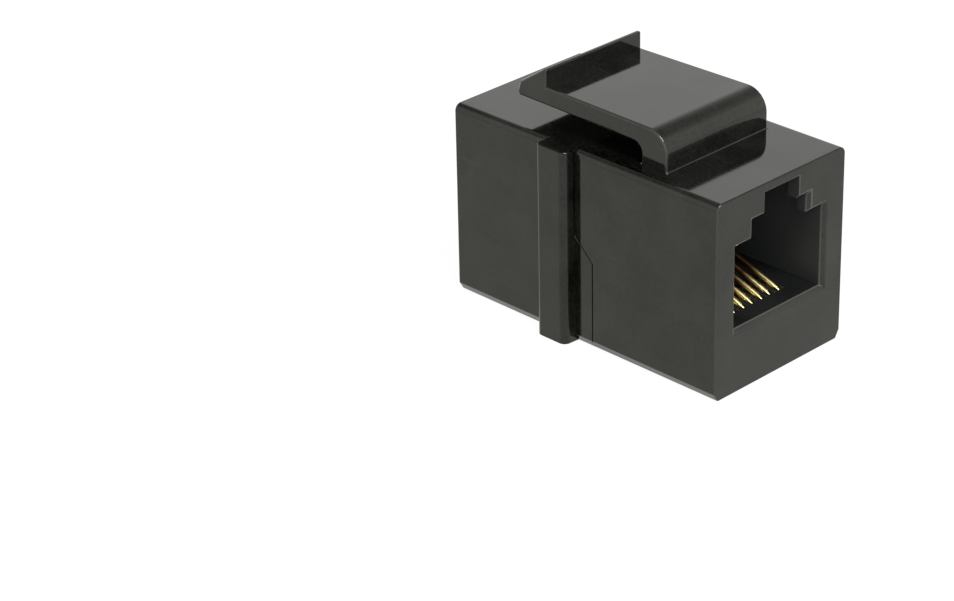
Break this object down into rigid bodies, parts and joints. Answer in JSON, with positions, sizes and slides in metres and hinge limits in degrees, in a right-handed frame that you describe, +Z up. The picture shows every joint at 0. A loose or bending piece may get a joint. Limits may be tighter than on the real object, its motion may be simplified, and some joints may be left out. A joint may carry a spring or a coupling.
{
  "type": "keystone jack",
  "caption": "Black in-line keystone coupler jack with a modular socket in each end, gilt contact wires running straight through, side stop ribs and a springy panel latch on top.",
  "frame": {"origin": "middle of the underside, under the middle of the overall box", "axes": "+Z up, -Y out through the panel socket, +Y out through the rear socket, X = 0 the mirror plane"},
  "size_m": [0.0166, 0.0272, 0.0207],
  "materials": {
    "housing": "satin black",
    "carrier": "matt black",
    "contacts": "gold plated"
  },
  "bodies": {
    "housing": {"front_housing": "housing", "rear_housing": "housing", "carrier_lower": "carrier", "carrier_upper": "carrier", "contact_wire_1": "contacts", "contact_wire_2": "contacts", "contact_wire_3": "contacts", "contact_wire_4": "contacts", "contact_wire_5": "contacts", "contact_wire_6": "contacts"},
    "latch": {"panel_latch": "housing"}
  },
  "joints": [
    {"name": "latch_flex", "type": "hinge", "parent": "housing", "child": "latch", "pos_m": [0, 0.00592, 0.0171], "axis": [1, 0, 0], "range_deg": [0, 5.5], "stiffness_Nm_per_rad": 0.2}
  ]
}
